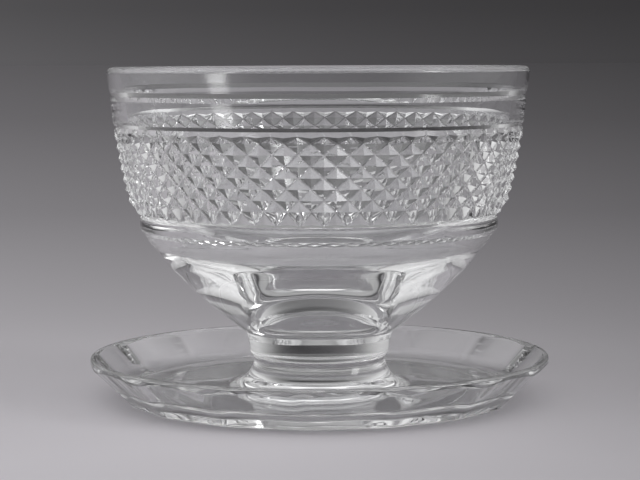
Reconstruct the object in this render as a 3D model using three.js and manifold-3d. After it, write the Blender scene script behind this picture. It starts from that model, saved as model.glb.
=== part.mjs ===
// Cut-glass sundae dish: a diamond-cut bowl, a collar and a saucer foot, three gathers of glass joined hot.
// Millimetres, +Z up, origin on the table under the centre of the foot.
import * as THREE from "three";
import { mergeVertices } from "three/addons/utils/BufferGeometryUtils.js";
import Module from "manifold-3d";

const dishHeight = 90;

// Saucer foot
const footRadius = 62.4;
const footHeight = 11.9;
const footEdge = 2.3; // height of the upright band round the edge
const footEdgeRound = 0.9;
const wellLevel = 3.7; // top of the flat floor of the saucer
const wellRadius = 49.5;
const wellBend = 9; // radius of the bend from floor to wall
const baseRadius = 53; // outside of the ring that stands on the table
const baseRingWidth = 8;
const baseBevel = 0.5;
const recessStep = 0.8;
const recessDepth = 1.5; // rise of the underside at the axis
const panelCount = 16; // flat cuts round the underside of the wall
const panelDepth = 0.9;
const panelTurn = THREE.MathUtils.degToRad(-3.75); // a ridge's angle from the front
const flareRadius = 7.5; // hollow sweep from pedestal to floor
const pedestalRadius = 17.9;

// Collar
const collarHeight = 5.2;
const collarRadius = 19.5; // where it meets the bowl
const collarSeat = 17.1; // where it meets the pedestal
const collarTaper = 0.5;

// Bowl, from the collar up
const stepHeight = 1.7; // short upright foot under the cone
const stepWidth = 0.6;
// Shares of the way out and of the way up the cone that its outline passes through
const coneShape = [
  [0, 0], [0.284, 0.223], [0.516, 0.431], [0.726, 0.636],
  [0.866, 0.818], [0.961, 0.926], [1, 1],
];
const beadRadius = 48.5;
const beadHeight = 3;
const beadChamfer = 1.25;
const bandGap = 1.3; // hollow between bead and diamond band
const bandGapDepth = 0.6;
const bevelRadius = 49.2; // lower edge of the band, over the points
const bevelHeight = 3.45;
const bandFootRadius = 51.5;
const bandTopRadius = 55.2;
const bandSwell = 0.4; // bulge of the band between its edges
const diamondCount = 52; // diamonds round the bowl
const diamondRows = 6; // half-diamond steps up the band, between the rows cut short by its edges
const diamondDepth = 1.5;
const diamondTurn = THREE.MathUtils.degToRad(1.4425); // shares a mirror plane with the saucer's panels
const rowHeight = 2.835;
const topRowHeight = 1.7;
const footRunOut = 0.85; // depth of the valleys at the band's edges
const topRunOut = 0.14;
const wallHeight = 17.1; // top of the band to the lip's upper edge
const lipRadius = 57;
const lipThickness = 3.2;
const mitreHeight = 2.4; // ring cut round the plain wall
const mitreDepth = 0.55;
const mitreDrop = 7.7; // lip to the middle of the ring cut
const edgeCutLow = 1.2; // ring cut along the top of the band
const edgeCutHigh = 2.15;
const edgeCutDepth = 0.65;

// Inside of the bowl
const bandTopWall = 3.9;
const innerWallAngle = THREE.MathUtils.degToRad(74);
const innerConeLean = THREE.MathUtils.degToRad(-12); // from the chord of the cone outside
const innerTurnStart = 36; // radius where the inner cone turns up to the wall
const innerTurnRadius = 22;
const bottomThickness = 7.6; // on the axis, above the collar
const bottomRadius = 9;
const bottomBend = 14;

// Facets
const columns = 2 * diamondCount;
const turnSteps = 80;
const coneSteps = 8;
const arcSteps = 5;
const lipSteps = 6;

const wasm = await Module();
wasm.setup();

// Levels of the stack
const collarLevel = wellLevel + flareRadius;
const bowlLevel = collarLevel + collarHeight;
const stepLevel = bowlLevel + stepHeight;
const bandHeight = bevelHeight + diamondRows * rowHeight + topRowHeight;
const bandTop = dishHeight - wallHeight;
const beadTop = bandTop - bandHeight - bandGap;
const beadLevel = beadTop - beadHeight;
const coneTop = beadLevel - beadChamfer;

const glass = () =>
  new THREE.MeshStandardMaterial({
    color: 0xdfe2e4, roughness: 0.03, metalness: 0, transparent: true, opacity: 0.4,
  });

// Points on an arc about (r, z), angles from the +r direction.
function arc(r, z, radius, from, to, steps = arcSteps) {
  const points = [];
  for (let i = 0; i <= steps; i++) {
    const angle = from + ((to - from) * i) / steps;
    points.push([r + radius * Math.cos(angle), z + radius * Math.sin(angle)]);
  }
  return points;
}

// A solid of revolution about Z from [r, z] points that start and end on the axis.
function revolve(points) {
  const profile = points.map(([r, z]) => new THREE.Vector2(r, z));
  return new THREE.LatheGeometry(profile, turnSteps).rotateX(Math.PI / 2);
}

function toSolid(geometry) {
  const bare = geometry.clone().deleteAttribute("normal").deleteAttribute("uv");
  const merged = mergeVertices(bare, 1e-4);
  return new wasm.Manifold(
    new wasm.Mesh({
      numProp: 3,
      vertProperties: merged.attributes.position.array,
      triVerts: new Uint32Array(merged.index.array),
    }),
  );
}

function toGeometry(solid) {
  const { vertProperties, triVerts } = solid.getMesh();
  const geometry = new THREE.BufferGeometry();
  geometry.setAttribute("position", new THREE.BufferAttribute(vertProperties, 3));
  geometry.setIndex(new THREE.BufferAttribute(triVerts, 1));
  geometry.computeVertexNormals();
  return geometry;
}

// A closed skin over rings { z, radius(column) } that starts and ends at a pole on the axis.
// Each quad is split along its lower diagonal, so that crossing cuts run together in a valley.
function skin(bottom, rings, top) {
  const positions = [];
  for (const { z, radius } of rings)
    for (let i = 0; i < columns; i++) {
      const angle = diamondTurn + (2 * Math.PI * i) / columns;
      positions.push(radius(i) * Math.cos(angle), radius(i) * Math.sin(angle), z);
    }
  const bottomPole = positions.length / 3;
  positions.push(0, 0, bottom, 0, 0, top);
  const topPole = bottomPole + 1;
  const lastRing = (rings.length - 1) * columns;
  const triangles = [];
  for (let i = 0; i < columns; i++) {
    const next = (i + 1) % columns;
    triangles.push(bottomPole, next, i, topPole, lastRing + i, lastRing + next);
    for (let k = 0; k + 1 < rings.length; k++) {
      const [low, high] = [rings[k].radius, rings[k + 1].radius];
      const [a, b] = [k * columns + i, k * columns + next];
      const [c, d] = [b + columns, a + columns];
      if (low(i) + high(next) <= low(next) + high(i)) triangles.push(a, b, c, a, c, d);
      else triangles.push(a, b, d, b, c, d);
    }
  }
  const geometry = new THREE.BufferGeometry();
  geometry.setAttribute("position", new THREE.Float32BufferAttribute(positions, 3));
  geometry.setIndex(triangles);
  geometry.computeVertexNormals();
  return geometry;
}

// Saucer foot: the pedestal sweeps into a flat floor, and the wall rises to a rounded edge.
function saucerFoot() {
  const edgeFoot = footHeight - footEdge;
  const wallSlope = Math.atan2(edgeFoot - baseBevel, footRadius - baseRadius);
  const ringInside = baseRadius - baseRingWidth;
  const underside = [
    [0, recessDepth],
    [ringInside / 2, recessDepth],
    [ringInside - recessStep, recessStep],
    [ringInside, 0],
    [baseRadius - baseBevel, 0],
    [baseRadius, baseBevel],
    [footRadius, edgeFoot],
  ];
  const edge = arc(
    footRadius - footEdgeRound, footHeight - footEdgeRound, footEdgeRound, 0, Math.PI / 2 + wallSlope,
  );
  // The inner wall runs parallel to the outer one and bends into the floor.
  const floorBend = arc(
    wellRadius, wellLevel + wellBend, wellBend, wallSlope - Math.PI / 2, -Math.PI / 2,
  );
  const sweep = arc(
    pedestalRadius + flareRadius, collarLevel, flareRadius, -Math.PI / 2, -Math.PI,
  );
  const body = toSolid(revolve([...underside, ...edge, ...floorBend, ...sweep, [0, collarLevel]]));
  return toGeometry(body.intersect(panelCutter(wallSlope)));
}

// A many-sided cone whose flats shave the underside of the saucer's wall.
function panelCutter(wallSlope) {
  const toCorner = 1 / Math.cos(Math.PI / panelCount);
  const below = 1;
  const above = 2 * collarLevel;
  const flatAt = (z) => baseRadius - panelDepth + (z - baseBevel) / Math.tan(wallSlope);
  const cone = new THREE.CylinderGeometry(
    flatAt(above) * toCorner, flatAt(-below) * toCorner, above + below, panelCount,
  );
  cone.rotateX(Math.PI / 2).translate(0, 0, (above - below) / 2);
  return toSolid(cone.rotateZ(-Math.PI / 2 + panelTurn));
}

// Collar: a button of glass, nearly upright at the bowl and rounded in to its seat on the pedestal.
function collar() {
  const round = collarRadius - collarTaper - collarSeat;
  return revolve([
    [0, collarLevel],
    ...arc(collarSeat, collarLevel + round, round, -Math.PI / 2, 0),
    [collarRadius, bowlLevel],
    [0, bowlLevel],
  ]);
}

const plain = (r, z) => ({ z, radius: () => r });

// One level of the diamond band: points and valley crossings take turns round the bowl and from row to row.
function diamondRing(row, z, point, depth) {
  return { z, radius: (column) => ((column + row) % 2 ? point : point - depth) };
}

// The band: whole rows between a bevelled row at the foot and a short row at the top.
function diamondBand() {
  const lowRow = bandTop - bandHeight + bevelHeight;
  const rings = [diamondRing(0, lowRow - bevelHeight, bevelRadius, footRunOut)];
  for (let row = 0; row <= diamondRows; row++) {
    const z = lowRow + row * rowHeight;
    const share = (z - lowRow) / (bandTop - lowRow);
    const swell = 4 * bandSwell * share * (1 - share);
    const point = THREE.MathUtils.lerp(bandFootRadius, bandTopRadius, share) + swell;
    rings.push(diamondRing(row + 1, z, point, diamondDepth));
  }
  rings.push(diamondRing(diamondRows + 2, bandTop, bandTopRadius, topRunOut));
  return rings;
}

// Bowl: solid foot, cone, bead, diamond band, plain wall and rounded lip, then the inside down to the bottom.
function bowl() {
  const coneFoot = collarRadius + stepWidth;
  const coneEnd = beadRadius - beadChamfer;
  const coneCurve = new THREE.SplineCurve(
    coneShape.map(([out, up]) =>
      new THREE.Vector2(
        THREE.MathUtils.lerp(coneFoot, coneEnd, out), THREE.MathUtils.lerp(stepLevel, coneTop, up),
      )),
  );
  const cone = coneCurve.getPoints(coneSteps).map(({ x, y }) => [x, y]);

  const wallAt = (z) => THREE.MathUtils.mapLinear(z, bandTop, dishHeight, bandTopRadius, lipRadius);
  const onWall = (z, depth = 0) => [wallAt(z) - depth, z];
  const mitreLevel = dishHeight - mitreDrop;
  const lipRound = lipThickness / 2;
  const outside = [
    [collarRadius, bowlLevel],
    ...cone,
    [beadRadius, beadLevel],
    [beadRadius, beadTop],
    [beadRadius - bandGapDepth, beadTop + bandGap / 2],
  ];
  const wall = [
    onWall(bandTop + edgeCutLow, edgeCutDepth),
    onWall(bandTop + edgeCutHigh),
    onWall(mitreLevel - mitreHeight / 2),
    onWall(mitreLevel, mitreDepth),
    onWall(mitreLevel + mitreHeight / 2),
    ...arc(lipRadius - lipRound, dishHeight - lipRound, lipRound, 0, Math.PI, lipSteps),
  ];

  // Inside, from the band's top edge to the axis
  const bottomLevel = bowlLevel + bottomThickness;
  const innerConeAngle = Math.atan2(coneTop - stepLevel, coneEnd - coneFoot) + innerConeLean;
  const bend = arc(
    bottomRadius, bottomLevel + bottomBend, bottomBend, innerConeAngle - Math.PI / 2, -Math.PI / 2,
  );
  const [bendR, bendZ] = bend[0];
  const turnLevel = bendZ + (innerTurnStart - bendR) * Math.tan(innerConeAngle);
  const turn = arc(
    innerTurnStart - innerTurnRadius * Math.sin(innerConeAngle),
    turnLevel + innerTurnRadius * Math.cos(innerConeAngle),
    innerTurnRadius, innerWallAngle - Math.PI / 2, innerConeAngle - Math.PI / 2,
  );
  const inside = [[bandTopRadius - bandTopWall, bandTop], ...turn, ...bend];

  const rings = [
    ...outside.map((p) => plain(...p)),
    ...diamondBand(),
    ...[...wall, ...inside].map((p) => plain(...p)),
  ];
  return skin(bowlLevel, rings, bottomLevel);
}

const dish = new THREE.Group();
for (const [name, geometry] of [["saucer_foot", saucerFoot()], ["collar", collar()], ["bowl", bowl()]]) {
  const mesh = new THREE.Mesh(geometry, glass());
  mesh.name = name;
  dish.add(mesh);
}

export default dish;
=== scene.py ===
import math

import bmesh
import bpy
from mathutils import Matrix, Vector


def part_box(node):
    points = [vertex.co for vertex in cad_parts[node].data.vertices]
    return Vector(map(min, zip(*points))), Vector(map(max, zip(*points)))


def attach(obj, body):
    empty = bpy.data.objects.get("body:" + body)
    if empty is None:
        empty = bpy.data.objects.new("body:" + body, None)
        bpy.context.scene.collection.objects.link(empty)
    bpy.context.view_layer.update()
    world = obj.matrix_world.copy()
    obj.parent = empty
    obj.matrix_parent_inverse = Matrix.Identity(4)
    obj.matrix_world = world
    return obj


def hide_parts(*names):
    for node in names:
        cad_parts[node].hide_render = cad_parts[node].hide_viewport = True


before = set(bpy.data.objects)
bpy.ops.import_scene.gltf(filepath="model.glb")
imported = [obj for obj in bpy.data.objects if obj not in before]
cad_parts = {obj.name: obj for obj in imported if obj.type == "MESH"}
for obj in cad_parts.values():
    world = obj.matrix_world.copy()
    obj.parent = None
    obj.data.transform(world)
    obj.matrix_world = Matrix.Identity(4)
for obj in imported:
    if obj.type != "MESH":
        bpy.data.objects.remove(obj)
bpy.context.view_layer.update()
scene = bpy.context.scene
MM = 0.001

# Sizes in millimetres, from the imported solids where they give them
bowl_low, bowl_high = (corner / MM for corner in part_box("bowl"))
collar_low, collar_high = (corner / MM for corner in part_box("collar"))
foot_low, foot_high = (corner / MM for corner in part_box("saucer_foot"))

COLUMNS = 384  # steps round a smooth ring
ARC_STEP = math.radians(6)
CORNER_STEPS = 8
SHARP_EDGE = math.radians(12)

# Bowl
JOIN_RADIUS = collar_high.x
BOWL_LEVEL = bowl_low.z
LIP_LEVEL = bowl_high.z
LIP_RADIUS = bowl_high.x
LIP_THICKNESS = 3.2
STEP_OUT = 0.6
STEP_RISE = 1.7
CONE_HEIGHT = 27.1
# Shares of the way out and of the way up that the cone's outline passes through
CONE_SHAPE = [(0, 0), (0.284, 0.223), (0.516, 0.431), (0.726, 0.636), (0.866, 0.818), (0.961, 0.926), (1, 1)]
CONE_STEPS = 8
BEAD_RADIUS = 48.5
BEAD_CHAMFER = 1.25
BEAD_HEIGHT = 3.0
BEAD_ROUND = 0.35
GAP_DEPTH = 0.6
BEVEL_RADIUS = 49.4
BEVEL_LEVEL = 51.0
BAND_FOOT_RADIUS = 51.5
BAND_TOP_RADIUS = 55.2
BAND_TOP = 72.7
BAND_SWELL = 0.4
DIAMOND_COUNT = 52
DIAMOND_ROWS = 8
DIAMOND_DEPTH = 1.5
DIAMOND_TURN = math.radians(1.4425)
LOW_ROW = 54.2
HIGH_ROW = 71.2
FOOT_RUN_OUT = 0.85
FOOT_SCALLOP = 0.5
TOP_RUN_OUT = 0.14
VALLEY_ROUND = 0.12
EDGE_CUT_DEPTH = 0.65
EDGE_CUT_LEVEL = 74.1
EDGE_CUT_TOP = 75.05
MITRE_LEVEL = 82.3
MITRE_HEIGHT = 2.4
MITRE_DEPTH = 0.55

INNER_BAND_TOP = 51.3
INNER_SWEEP = 60
INNER_WALL = math.radians(74)
INNER_TURN = 36
INNER_TURN_RADIUS = 22
INNER_CONE = math.radians(33)
BOTTOM_FLAT = 9
BOTTOM_BEND = 14
BOTTOM_LEVEL = 24

# Collar
COLLAR_LEVEL = collar_low.z
COLLAR_RADIUS = collar_high.x
COLLAR_SEAT = 17.1
COLLAR_TAPER = 0.5

# Saucer foot
FOOT_RADIUS = foot_high.x
FOOT_HEIGHT = 11.9
FOOT_EDGE = 2.3
FOOT_EDGE_ROUND = 0.9
WELL_LEVEL = 3.7
WELL_RADIUS = 49.5
WELL_BEND = 9
BASE_RADIUS = 53
BASE_RING_WIDTH = 8
BASE_BEVEL = 0.5
RECESS_STEP = 0.8
RECESS_DEPTH = 1.5
PANEL_COUNT = 16
PANEL_DEPTH = 0.9
PANEL_TURN = math.radians(-3.75)
FLARE_RADIUS = 7.5
PEDESTAL_RADIUS = 17.9

# Glass: height of the slow waves in millimetres, and waves of each kind to the metre
WAVES = {"bowl_glass": (0.03, 60), "collar_glass": (0.04, 80), "foot_glass": (0.1, 70)}
GLASS_IOR = 1.55
TINTS = (0.99, 0.992, 0.994, 1), (0.972, 0.98, 0.984, 1)
TINT_WAVES = 25
HAZE_WAVES = 90
HAZE_SPREAD = 0.45, 0.8
HAZE_ROUGHNESS = 0.04
GROUND_LEVEL = 0.3
GROUND_ROUGHNESS = 0.3

# Camera
CAMERA_LENS = 113.6
CAMERA_SENSOR = 36
CAMERA_DISTANCE = 548
CAMERA_HEIGHT = 92.2
CAMERA_SIDE = 0.5
CAMERA_PITCH = math.radians(5.15)
CAMERA_ROLL = math.radians(0.25)

# Stage, in metres apart from the gap under the dish
FLOOR_GAP = 0.2
FLOOR_HALF = 30
FLOOR_ROUGHNESS = 0.9
STAGE_HUE = 1, 0.965, 1.015
# The floor's colour holds a painted pool of light: pale round the dish and darker further away, by the ramp
# of tones below
POOL_CENTRE = -0.25
POOL_HALF = 0.5
PAINTED_POOL_TONES = [(0.0, 0.64), (0.26, 0.58), (0.42, 0.43), (0.65, 0.243), (0.85, 0.152), (1.0, 0.111)]
# Painted light that the dish throws on the table: reach and share of the paler ground round it and under it
PAINTED_GLOWS = [(0.12, 0.22), (0.065, 0.32)]
WORLD_TONES = [(0.0, 0.077), (0.024, 0.057), (0.07, 0.042), (0.3, 0.035), (1.0, 0.035)]
# Lights: azimuth from the front and half width, elevation and half height in degrees, radiance
LIGHTS = {
    "right_panel": (98, 48, 27, 27, 0.9),
    "left_panel": (-102, 50, 27, 27, 0.78),
    "front_top": (0, 90, 57, 12, 1.5),
    "back_top": (180, 80, 55, 10, 0.5),
    "overhead": (0, 400, 90, 22, 0.6),
    "key": (66, 7, 19, 12, 5.0),
    "front_fill": (0, 70, 36, 10, 0.25),
    "back_low": (180, 30, 10, 5, 0.1),
    "back_mid": (180, 28, 35, 10, 0.35),
    "back_skirt": (180, 60, 4.5, 1.8, 0.1),
}
# How much the stage darkens from the left of the picture to the right: painted shade and light in the floor's
# colour, and the world's own light on the backdrop
FALL_REACH = 0.548
FALL_START = 0.7
FALL_RISE = 1.25
FALL_LIMIT = 0.35


def lerp(a, b, share):
    return a + (b - a) * share


def arc(r, z, radius, start, end):
    steps = max(2, math.ceil(abs(end - start) / ARC_STEP))
    angles = [lerp(start, end, i / steps) for i in range(steps + 1)]
    return [(r + radius * math.cos(a), z + radius * math.sin(a)) for a in angles]


def rounded(points, radius):
    """Rounds the inner corners of a profile."""
    out = [points[0]]
    for before, corner, after in zip(points, points[1:], points[2:]):
        c = Vector(corner)
        u = Vector(before) - c
        v = Vector(after) - c
        turn = math.pi - u.angle(v)
        reach = min(radius * math.tan(turn / 2), u.length * 0.45, v.length * 0.45)
        u.normalize()
        v.normalize()
        for i in range(CORNER_STEPS + 1):
            t = i / CORNER_STEPS
            p = c + u * reach * (1 - t) ** 2 + v * reach * t ** 2
            out.append(tuple(p))
    out.append(points[-1])
    return out


def through(points, steps):
    """A smooth line through points."""
    out = [points[0]]
    ends = [points[0], *points, points[-1]]
    for four in zip(ends, ends[1:], ends[2:], ends[3:]):
        a, b, c, d = (Vector(p) for p in four)
        for i in range(1, steps + 1):
            t = i / steps
            bend = (2 * a - 5 * b + 4 * c - d) * t ** 2 + (3 * b - a - 3 * c + d) * t ** 3
            out.append(tuple(b + ((c - a) * t + bend) / 2))
    return out


class Skin:
    """A closed surface made of rings about Z."""

    def __init__(self):
        self.points = []
        self.faces = []
        self.joins = []

    def add(self, angle, r, z):
        self.points.append(Vector((r * math.cos(angle), r * math.sin(angle), z)) * MM)
        return len(self.points) - 1

    def ring(self, r, z, shape=None):
        turn = 2 * math.pi / COLUMNS
        angles = [i * turn for i in range(COLUMNS)]
        return [(a, self.add(a, *(shape(a, r, z) if shape else (r, z)))) for a in angles]

    def face(self, corners, join=False):
        self.faces.append(corners)
        self.joins.append(join)

    def bridge(self, low, high, join=False):
        if len(low) == len(high):
            for i in range(len(low)):
                j = (i + 1) % len(low)
                self.face([low[i][1], low[j][1], high[j][1], high[i][1]], join)
            return
        # Rings of different counts are zipped by angle.
        full = 2 * math.pi
        a = low + [(low[0][0] + full, low[0][1])]
        b = high + [(high[0][0] + full, high[0][1])]
        i = j = 0
        while i < len(low) or j < len(high):
            if j == len(high) or (i < len(low) and a[i + 1][0] <= b[j + 1][0] + 1e-9):
                self.face([a[i][1], a[i + 1][1], b[j][1]], join)
                i += 1
            else:
                self.face([a[i][1], b[j + 1][1], b[j][1]], join)
                j += 1

    def cap(self, ring, z, join=False):
        pole = self.add(0, 0, z)
        for i in range(len(ring)):
            self.face([ring[i][1], ring[(i + 1) % len(ring)][1], pole], join)

    def sweep(self, profile, start=None, shape=None):
        ring = start
        for r, z in profile:
            following = self.ring(r, z, shape)
            if ring:
                self.bridge(ring, following)
            ring = following
        return ring

    def finish(self, name, materials):
        mesh = bpy.data.meshes.new(name)
        mesh.from_pydata(self.points, [], self.faces)
        for material in materials:
            mesh.materials.append(material)
        for polygon, join in zip(mesh.polygons, self.joins):
            polygon.material_index = 1 if join else 0
            polygon.use_smooth = True
        net = bmesh.new()
        net.from_mesh(mesh)
        bmesh.ops.recalc_face_normals(net, faces=net.faces)
        for edge in net.edges:
            edge.smooth = edge.calc_face_angle(0) < SHARP_EDGE
        net.to_mesh(mesh)
        net.free()
        piece = bpy.data.objects.new(name, mesh)
        scene.collection.objects.link(piece)
        weigh = piece.modifiers.new("facet_normals", "WEIGHTED_NORMAL")
        weigh.keep_sharp = True
        weigh.weight = 100
        return piece


def math_node(tree, operation, first, second=None):
    node = tree.nodes.new("ShaderNodeMath")
    node.operation = operation
    for socket, value in zip(node.inputs, (first, second)):
        if isinstance(value, (int, float)):
            socket.default_value = value
        elif value is not None:
            tree.links.new(value, socket)
    return node.outputs[0]


def parts(tree, vector):
    node = tree.nodes.new("ShaderNodeSeparateXYZ")
    tree.links.new(vector, node.inputs[0])
    return node.outputs


def fade(tree, value, power):
    """A hump of height 1 at zero."""
    size = math_node(tree, "POWER", math_node(tree, "ABSOLUTE", value), power)
    return math_node(tree, "EXPONENT", math_node(tree, "MULTIPLY", size, -1))


def noise(tree, place, scale, detail):
    """A noise about 0.5, with the scale in waves to the metre."""
    node = tree.nodes.new("ShaderNodeTexNoise")
    node.inputs["Scale"].default_value = scale
    node.inputs["Detail"].default_value = detail
    tree.links.new(place, node.inputs["Vector"])
    return node.outputs["Fac"]


def glass(name, ground=False):
    """Crystal with slow waves and polishing haze, and a ground standing ring where asked."""
    material = bpy.data.materials.new(name)
    material.use_nodes = True
    tree = material.node_tree
    shader = tree.nodes["Principled BSDF"]
    shader.inputs["IOR"].default_value = GLASS_IOR
    shader.inputs["Transmission Weight"].default_value = 1
    place = tree.nodes.new("ShaderNodeTexCoord").outputs["Object"]

    height, count = WAVES[name]
    bump = tree.nodes.new("ShaderNodeBump")
    bump.inputs["Strength"].default_value = 1
    bump.inputs["Distance"].default_value = height * MM
    tree.links.new(noise(tree, place, count, 1), bump.inputs["Height"])
    tree.links.new(bump.outputs[0], shader.inputs["Normal"])

    haze = tree.nodes.new("ShaderNodeMapRange")
    haze.inputs["From Min"].default_value, haze.inputs["From Max"].default_value = HAZE_SPREAD
    haze.inputs["To Max"].default_value = HAZE_ROUGHNESS
    tree.links.new(noise(tree, place, HAZE_WAVES, 4), haze.inputs["Value"])
    rough = haze.outputs["Result"]
    if ground:
        below = math_node(tree, "LESS_THAN", parts(tree, place)["Z"], GROUND_LEVEL * MM)
        rough = math_node(tree, "ADD", rough, math_node(tree, "MULTIPLY", below, GROUND_ROUGHNESS))
    tree.links.new(rough, shader.inputs["Roughness"])

    tint = tree.nodes.new("ShaderNodeMix")
    tint.data_type = "RGBA"
    tint.inputs["A"].default_value, tint.inputs["B"].default_value = TINTS
    tree.links.new(noise(tree, place, TINT_WAVES, 2), tint.inputs["Factor"])
    tree.links.new(tint.outputs["Result"], shader.inputs["Base Color"])
    return material


def weld():
    """The see-through face of a hot join."""
    material = bpy.data.materials.new("weld")
    material.use_nodes = True
    nodes = material.node_tree.nodes
    nodes.remove(nodes["Principled BSDF"])
    clear = nodes.new("ShaderNodeBsdfTransparent")
    material.node_tree.links.new(clear.outputs[0], nodes["Material Output"].inputs["Surface"])
    return material


WELD = weld()


def diamond_band(skin):
    """The band's lattice of points and valley crossings; returns its lowest and highest rings."""
    columns = 2 * DIAMOND_COUNT
    step = 2 * math.pi / columns

    def node(column, row):
        valley = (column + row) % 2 == 0
        angle = DIAMOND_TURN + column * step
        if row == 0:
            cut = FOOT_RUN_OUT if valley else 0
            return angle, BEVEL_RADIUS - cut, BEVEL_LEVEL - (FOOT_SCALLOP if valley else 0), valley
        if row == DIAMOND_ROWS:
            # The band's top edge lies on the lower face of the ring cut above it.
            cut = TOP_RUN_OUT if valley else 0
            rise = (EDGE_CUT_LEVEL - BAND_TOP) * cut / (BAND_TOP_RADIUS - edge_cut_radius)
            return angle, BAND_TOP_RADIUS - cut, BAND_TOP + rise, valley
        z = lerp(LOW_ROW, HIGH_ROW, (row - 1) / (DIAMOND_ROWS - 2))
        share = (z - LOW_ROW) / (BAND_TOP - LOW_ROW)
        r = lerp(BAND_FOOT_RADIUS, BAND_TOP_RADIUS, share) + 4 * BAND_SWELL * share * (1 - share)
        return angle, r - (DIAMOND_DEPTH if valley else 0), z, valley

    vertex = {}
    for row in range(DIAMOND_ROWS + 1):
        for column in range(columns):
            angle, r, z, valley = node(column, row)
            lift = 0.5 * VALLEY_ROUND * DIAMOND_DEPTH if valley else 0
            vertex[column, row] = skin.add(angle, r + lift, z)
    between = {}

    def shoulder(valley, point):
        """A vertex on a ridge, close to the valley."""
        key = (valley, point)
        if key not in between:
            (a, r, z, _), (b, s, y, _) = node(*valley), node(*point)
            if abs(a - b) > math.pi:
                b += 2 * math.pi if a > b else -2 * math.pi
            t = VALLEY_ROUND
            between[key] = skin.add(lerp(a, b, t), lerp(r, s, t), lerp(z, y, t))
        return between[key]

    for row in range(DIAMOND_ROWS):
        for column in range(columns):
            beside = (column + 1) % columns
            corners = [(column, row), (beside, row), (beside, row + 1), (column, row + 1)]
            if (column + row) % 2:
                corners = corners[1:] + corners[:1]
            v, a, w, b = corners  # valley, point, valley, point
            for point, first, second in ((a, v, w), (b, w, v)):
                p, q = shoulder(first, point), shoulder(second, point)
                skin.face([p, vertex[point], q])
                skin.face([vertex[first], p, q, vertex[second]])

    def boundary(row):
        ring = []
        for column in range(columns):
            here, beside = (column, row), ((column + 1) % columns, row)
            leads = (column + row) % 2 == 0
            past = VALLEY_ROUND if leads else 1 - VALLEY_ROUND
            ring.append((DIAMOND_TURN + column * step, vertex[here]))
            key = (here, beside) if leads else (beside, here)
            ring.append((DIAMOND_TURN + (column + past) * step, between[key]))
        return ring

    return boundary(0), boundary(DIAMOND_ROWS)


# Bowl
step_radius = JOIN_RADIUS + STEP_OUT
step_level = BOWL_LEVEL + STEP_RISE
cone_end = BEAD_RADIUS - BEAD_CHAMFER
cone = through(
    [(lerp(step_radius, cone_end, out), step_level + CONE_HEIGHT * up) for out, up in CONE_SHAPE], CONE_STEPS
)
bead_level = step_level + CONE_HEIGHT + BEAD_CHAMFER
bead_top = bead_level + BEAD_HEIGHT
gap_radius = BEAD_RADIUS - GAP_DEPTH
gap_level = BEVEL_LEVEL - (BEVEL_RADIUS - gap_radius) * FOOT_SCALLOP / FOOT_RUN_OUT

below = [
    (JOIN_RADIUS, BOWL_LEVEL),
    *cone,
    *rounded(
        [
            cone[-1],
            (BEAD_RADIUS, bead_level),
            (BEAD_RADIUS, bead_top),
            (gap_radius, gap_level),
        ],
        BEAD_ROUND,
    )[1:],
]


def wall_at(z):
    return lerp(BAND_TOP_RADIUS, LIP_RADIUS, (z - BAND_TOP) / (LIP_LEVEL - BAND_TOP))


lip_round = LIP_THICKNESS / 2
edge_cut_radius = wall_at(EDGE_CUT_LEVEL) - EDGE_CUT_DEPTH
above = [
    (edge_cut_radius, EDGE_CUT_LEVEL),
    (wall_at(EDGE_CUT_TOP), EDGE_CUT_TOP),
    (wall_at(MITRE_LEVEL - MITRE_HEIGHT / 2), MITRE_LEVEL - MITRE_HEIGHT / 2),
    (wall_at(MITRE_LEVEL) - MITRE_DEPTH, MITRE_LEVEL),
    (wall_at(MITRE_LEVEL + MITRE_HEIGHT / 2), MITRE_LEVEL + MITRE_HEIGHT / 2),
    *arc(LIP_RADIUS - lip_round, LIP_LEVEL - lip_round, lip_round, 0, math.pi),
]

bend_r = BOTTOM_FLAT + BOTTOM_BEND * math.sin(INNER_CONE)
bend_z = BOTTOM_LEVEL + BOTTOM_BEND * (1 - math.cos(INNER_CONE))
turn_z = bend_z + (INNER_TURN - bend_r) * math.tan(INNER_CONE)
inner_turn = arc(
    INNER_TURN - INNER_TURN_RADIUS * math.sin(INNER_CONE),
    turn_z + INNER_TURN_RADIUS * math.cos(INNER_CONE),
    INNER_TURN_RADIUS, INNER_WALL - math.pi / 2, INNER_CONE - math.pi / 2,
)
inside = [
    *rounded([above[-1], (INNER_BAND_TOP, BAND_TOP), inner_turn[0]], INNER_SWEEP)[1:],
    *inner_turn[1:],
    *arc(BOTTOM_FLAT, BOTTOM_LEVEL + BOTTOM_BEND, BOTTOM_BEND, INNER_CONE - math.pi / 2, -math.pi / 2),
]

skin = Skin()
base = skin.ring(*below[0])
outer = skin.sweep(below[1:], base)
skin.cap(base, BOWL_LEVEL, join=True)
band_low, band_high = diamond_band(skin)
skin.bridge(outer, band_low)
first = skin.ring(*above[0])
skin.bridge(band_high, first)
last = skin.sweep(above[1:] + inside, first)
skin.cap(last, BOTTOM_LEVEL)
bowl = skin.finish("bowl_crystal", [glass("bowl_glass"), WELD])

# Collar
collar_round = COLLAR_RADIUS - COLLAR_TAPER - COLLAR_SEAT
skin = Skin()
seat = skin.ring(COLLAR_SEAT, COLLAR_LEVEL)
skin.cap(seat, COLLAR_LEVEL, join=True)
rounding = arc(COLLAR_SEAT, COLLAR_LEVEL + collar_round, collar_round, -math.pi / 2, 0)
top = skin.sweep([*rounding[1:], (COLLAR_RADIUS, BOWL_LEVEL)], seat)
skin.cap(top, BOWL_LEVEL, join=True)
collar = skin.finish("collar_crystal", [glass("collar_glass"), WELD])

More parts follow.
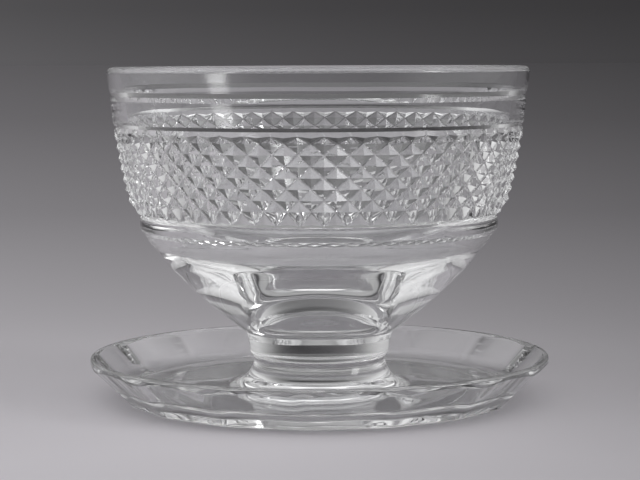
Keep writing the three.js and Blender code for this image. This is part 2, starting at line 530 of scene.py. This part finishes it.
# Saucer foot
edge_foot = FOOT_HEIGHT - FOOT_EDGE
wall_slope = math.atan2(edge_foot - BASE_BEVEL, FOOT_RADIUS - BASE_RADIUS)
ring_inside = BASE_RADIUS - BASE_RING_WIDTH
underside = [
    (ring_inside / 2, RECESS_DEPTH),
    (ring_inside - RECESS_STEP, RECESS_STEP),
    (ring_inside, 0),
    (BASE_RADIUS - BASE_BEVEL, 0),
    (BASE_RADIUS, BASE_BEVEL),
    (FOOT_RADIUS, edge_foot),
]
edge = arc(
    FOOT_RADIUS - FOOT_EDGE_ROUND, FOOT_HEIGHT - FOOT_EDGE_ROUND, FOOT_EDGE_ROUND, 0, math.pi / 2 + wall_slope
)
floor_bend = arc(WELL_RADIUS, WELL_LEVEL + WELL_BEND, WELL_BEND, wall_slope - math.pi / 2, -math.pi / 2)
flare = arc(PEDESTAL_RADIUS + FLARE_RADIUS, COLLAR_LEVEL, FLARE_RADIUS, -math.pi / 2, -math.pi)


def shaved(angle, r, z):
    """Moves a point of the saucer's outside onto the flat panels."""
    pitch = 2 * math.pi / PANEL_COUNT
    off = (angle + math.pi / 2 - PANEL_TURN) % pitch - pitch / 2
    rise = math.tan(wall_slope)
    if z == edge_foot:
        level = BASE_BEVEL + (FOOT_RADIUS * math.cos(off) - BASE_RADIUS + PANEL_DEPTH) * rise
        return r, max(edge_foot, level)
    flat = BASE_RADIUS - PANEL_DEPTH + (z - BASE_BEVEL) / rise
    return min(r, flat / math.cos(off)), z


skin = Skin()
start = skin.ring(*underside[0])
skin.cap(start, RECESS_DEPTH)
outside = skin.sweep(underside[1:], start, shaved)
top = skin.sweep(edge + floor_bend + flare, outside)
seat = skin.ring(COLLAR_SEAT, COLLAR_LEVEL)
skin.bridge(top, seat)
skin.cap(seat, COLLAR_LEVEL, join=True)
foot = skin.finish("foot_crystal", [glass("foot_glass", ground=True), WELD])

for piece, node, slot in (
    (bowl, "bowl", "bowl_glass"),
    (collar, "collar", "collar_glass"),
    (foot, "saucer_foot", "foot_glass"),
):
    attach(piece, "root")
    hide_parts(node)


# Stage
def grey_ramp(tree, value, stops):
    ramp = tree.nodes.new("ShaderNodeValToRGB")
    while len(ramp.color_ramp.elements) < len(stops):
        ramp.color_ramp.elements.new(0.5)
    for element, (at, level) in zip(ramp.color_ramp.elements, stops):
        element.position = at
        element.color = (*(level * part for part in STAGE_HUE), 1)
    tree.links.new(value, ramp.inputs[0])
    return ramp.outputs[0]


def times(tree, colour, factor):
    node = tree.nodes.new("ShaderNodeVectorMath")
    node.operation = "SCALE"
    tree.links.new(colour, node.inputs[0])
    tree.links.new(factor, node.inputs["Scale"])
    return node.outputs[0]


def side_fall(tree, colour, sideways, share):
    """Darkens a colour to the right of the picture and lightens it to the left: painted shade and light where
    it is the floor's colour, the world's own light where it is the backdrop.
    """
    slope = math_node(tree, "ADD", math_node(tree, "MULTIPLY", share, FALL_RISE), FALL_START)
    factor = math_node(tree, "SUBTRACT", 1, math_node(tree, "MULTIPLY", slope, sideways))
    factor = math_node(tree, "MINIMUM", math_node(tree, "MAXIMUM", factor, 1 - FALL_LIMIT), 1 + FALL_LIMIT)
    return times(tree, colour, factor)


def floor_material():
    material = bpy.data.materials.new("floor")
    material.use_nodes = True
    tree = material.node_tree
    shader = tree.nodes["Principled BSDF"]
    shader.inputs["Roughness"].default_value = FLOOR_ROUGHNESS
    shader.inputs["Specular IOR Level"].default_value = 0.0
    place = tree.nodes.new("ShaderNodeTexCoord").outputs["Object"]
    reach = tree.nodes.new("ShaderNodeVectorMath")
    reach.operation = "LENGTH"
    tree.links.new(place, reach.inputs[0])
    pool = tree.nodes.new("ShaderNodeVectorMath")
    pool.operation = "DISTANCE"
    pool.inputs[1].default_value = (0, POOL_CENTRE, 0)
    tree.links.new(place, pool.inputs[0])
    radius = pool.outputs["Value"]
    far = reach.outputs["Value"]
    share = math_node(tree, "DIVIDE", radius, math_node(tree, "ADD", radius, POOL_HALF))
    sideways = math_node(tree, "DIVIDE", parts(tree, place)["X"], math_node(tree, "ADD", far, FALL_REACH))
    # The floor's colour carries painted light: a painted pool of light, painted shade towards the right and a
    # painted glow round the dish
    colour = side_fall(tree, grey_ramp(tree, share, PAINTED_POOL_TONES), sideways, share)
    painted_glow = 1
    # A painted glow of light round and under the dish, multiplied into the floor's colour
    for distance, gain in PAINTED_GLOWS:
        glow = fade(tree, math_node(tree, "DIVIDE", far, distance), 2)
        painted_glow = math_node(tree, "ADD", math_node(tree, "MULTIPLY", glow, gain), painted_glow)
    tree.links.new(times(tree, colour, painted_glow), shader.inputs["Base Color"])
    return material


mesh = bpy.data.meshes.new("floor")
square = [(FLOOR_HALF * x, FLOOR_HALF * y, 0) for x, y in ((-1, -1), (1, -1), (1, 1), (-1, 1))]
mesh.from_pydata(square, [], [(0, 1, 2, 3)])
mesh.materials.append(floor_material())
floor = bpy.data.objects.new("floor", mesh)
floor.location.z = -FLOOR_GAP * MM
scene.collection.objects.link(floor)

scene.world = bpy.data.worlds.new("studio")
scene.world.use_nodes = True
tree = scene.world.node_tree
way = tree.nodes.new("ShaderNodeTexCoord").outputs["Generated"]
east, north, up = parts(tree, way)
backdrop = side_fall(tree, grey_ramp(tree, up, WORLD_TONES), east, 1.0)
azimuth = math_node(tree, "ARCTAN2", east, math_node(tree, "MULTIPLY", north, -1))
elevation = math_node(tree, "ARCSINE", up)


def bell(angle, centre, half_width):
    """A soft hump of height 1 about a centre; the angle is a node's, in radians."""
    off = math_node(tree, "SUBTRACT", angle, math.radians(centre))
    return fade(tree, math_node(tree, "DIVIDE", off, math.radians(half_width)), 4)


light = 0
for centre, wide, rise, tall, radiance in LIGHTS.values():
    # A light straight behind reaches over both ends of the azimuth.
    for at in (centre, -centre) if centre == 180 else (centre,):
        hump = math_node(tree, "MULTIPLY", bell(azimuth, at, wide), bell(elevation, rise, tall))
        light = math_node(tree, "ADD", math_node(tree, "MULTIPLY", hump, radiance), light)
total = tree.nodes.new("ShaderNodeVectorMath")
total.operation = "ADD"
tree.links.new(backdrop, total.inputs[0])
tree.links.new(light, total.inputs[1])
tree.links.new(total.outputs[0], tree.nodes["Background"].inputs["Color"])

camera = bpy.data.objects.new("camera", bpy.data.cameras.new("camera"))
camera.data.lens = CAMERA_LENS
camera.data.sensor_width = CAMERA_SENSOR
camera.location = Vector((CAMERA_SIDE, -CAMERA_DISTANCE, CAMERA_HEIGHT)) * MM
camera.rotation_euler = (math.pi / 2 - CAMERA_PITCH, CAMERA_ROLL, 0)
scene.collection.objects.link(camera)
scene.camera = camera

scene.view_settings.view_transform = "Standard"
scene.cycles.max_bounces = 32
scene.cycles.transmission_bounces = 32
scene.cycles.glossy_bounces = 16
scene.cycles.transparent_max_bounces = 16
